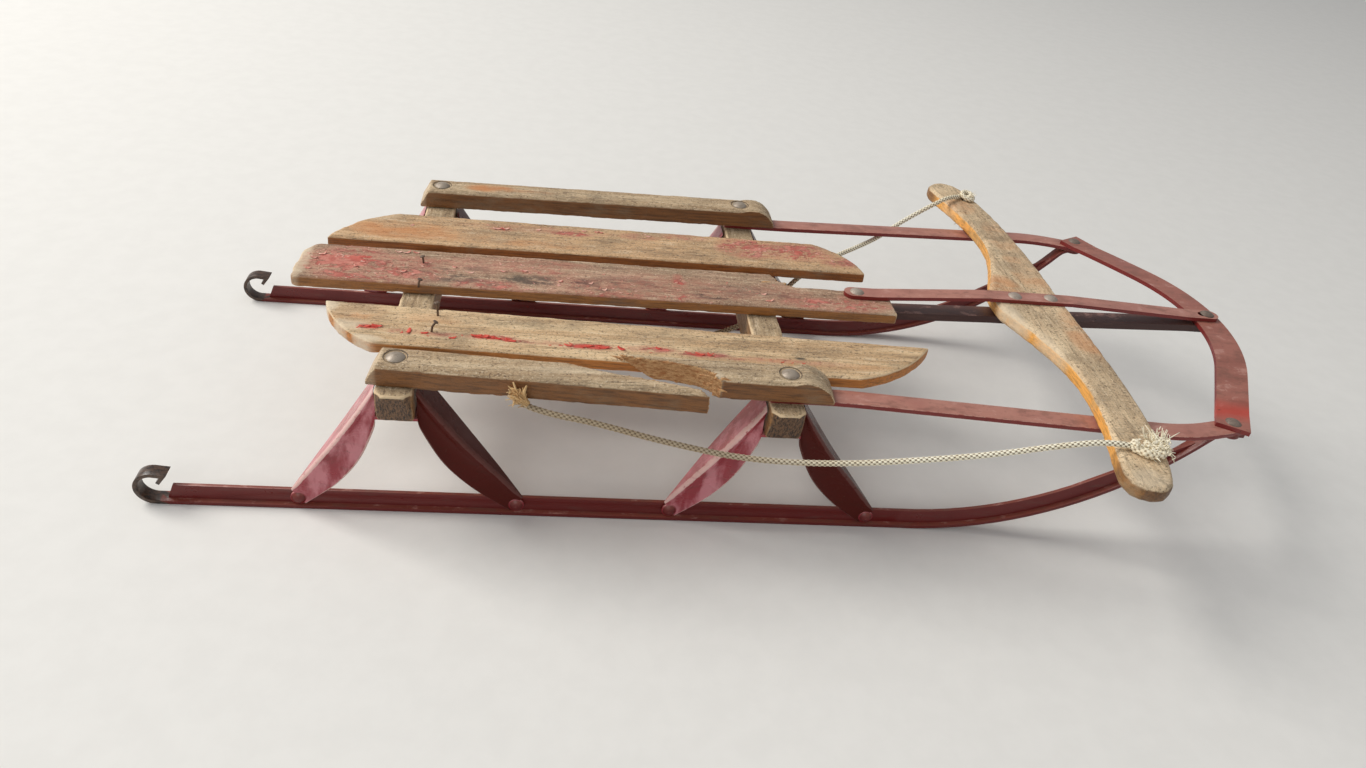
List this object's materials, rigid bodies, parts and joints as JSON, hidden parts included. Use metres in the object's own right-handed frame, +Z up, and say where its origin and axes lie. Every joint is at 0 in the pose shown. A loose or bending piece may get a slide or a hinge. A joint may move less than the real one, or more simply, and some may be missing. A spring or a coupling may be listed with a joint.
{
  "type": "steerable snow sled",
  "caption": "Child's steerable snow sled: slatted wooden deck and steering bar on steel runners that bend to steer, with a pull cord. Old, worn and broken in places.",
  "frame": {"origin": "on the floor, under the middle of the sled", "axes": "+X to the front, +Y to the sled's left, +Z up"},
  "size_m": [0.96, 0.537, 0.1558],
  "materials": {
    "board_wood": "weathered grey-tan boards with remnants of faded red paint and varnish left on the edges",
    "rail_wood": "weathered tan tops, browner varnished sides",
    "bench_wood": "bare pale wood, saw-cut sloping ends",
    "steering_wood": "weathered top, orange varnish left on the rear edge",
    "red_steel": "old deep red paint, chipped and rusty, bare rust at the runners' curls",
    "rivet_steel": "dull grey, lightly rusted",
    "cord": "braided cream cord, frayed at its ends"
  },
  "bodies": {
    "frame": {"bench_front": "bench_wood", "bench_rear": "bench_wood", "deck_board_centre": "board_wood", "deck_board_left": "board_wood", "deck_board_right": "board_wood", "knee_front_left": "red_steel", "knee_front_right": "red_steel", "knee_rear_left": "red_steel", "knee_rear_right": "red_steel", "knee_rivets_left": "red_steel", "knee_rivets_right": "red_steel", "pivot_rivet": "rivet_steel", "pull_cord": "cord", "rail_tuft": "cord", "runner_left": "red_steel", "runner_right": "red_steel", "seat_bolts": "rivet_steel", "seat_rail_left": "rail_wood", "seat_rail_right_front": "rail_wood", "seat_rail_right_rear": "rail_wood", "side_bar_left": "red_steel", "side_bar_right": "red_steel"},
    "steering": {"steering_bar": "steering_wood", "strap_top": "red_steel", "strap_bottom": "red_steel", "bar_rivets": "rivet_steel", "knot_left": "cord", "knot_right": "cord"},
    "nose": {"bumper": "red_steel", "nose_end_rivets": "rivet_steel", "nose_centre_rivet": "rivet_steel"}
  },
  "joints": [
    {"name": "steer", "type": "hinge", "parent": "frame", "child": "steering", "pos_m": [0.1137, 0, 0.14], "axis": [0, 0, 1], "range_deg": [-5, 5], "deforming": ["pull_cord"]},
    {"name": "nose_shift", "type": "slide", "parent": "frame", "child": "nose", "axis": [0, 1, 0], "range_m": [-0.031, 0.031], "deforming": ["runner_left", "runner_right", "side_bar_left", "side_bar_right"]}
  ],
  "couplings": [
    {"joint": "nose_shift", "follows": "steer", "m_per_rad": 0.3528}
  ]
}
